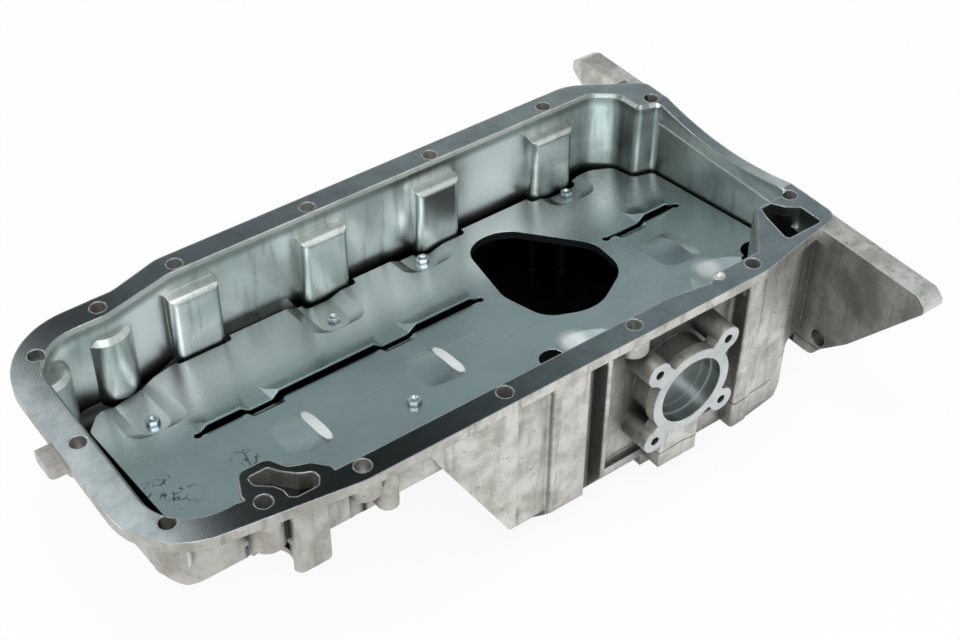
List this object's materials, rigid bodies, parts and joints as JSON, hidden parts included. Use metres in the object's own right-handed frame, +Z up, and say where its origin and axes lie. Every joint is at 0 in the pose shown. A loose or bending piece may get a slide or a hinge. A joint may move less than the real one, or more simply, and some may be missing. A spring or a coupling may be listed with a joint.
{
  "type": "engine oil pan",
  "caption": "Cast aluminium engine oil pan with a shallow tray, a deep sump, a bolted rail, two gearbox wings, a round side pad and a screwed-in steel baffle sheet.",
  "frame": {"origin": "centre of the rectangle of the four outer main rail bolts, on the machined rail face", "axes": "+X along the crankshaft toward the gearbox, +Y across the engine away from the round pad, +Z up out of the pan"},
  "size_m": [0.4495, 0.3021, 0.118],
  "materials": {
    "cast_aluminium": "as cast",
    "zinc_sheet": "zinc plated",
    "zinc_screw": "bright zinc",
    "zinc_plug": "zinc plated",
    "washer": "soft, plain"
  },
  "bodies": {
    "root": {"oil_pan_casting": "cast_aluminium", "baffle_plate": "zinc_sheet", "baffle_screws": "zinc_screw", "drain_plug": "zinc_plug", "drain_plug_washer": "washer"}
  },
  "joints": []
}
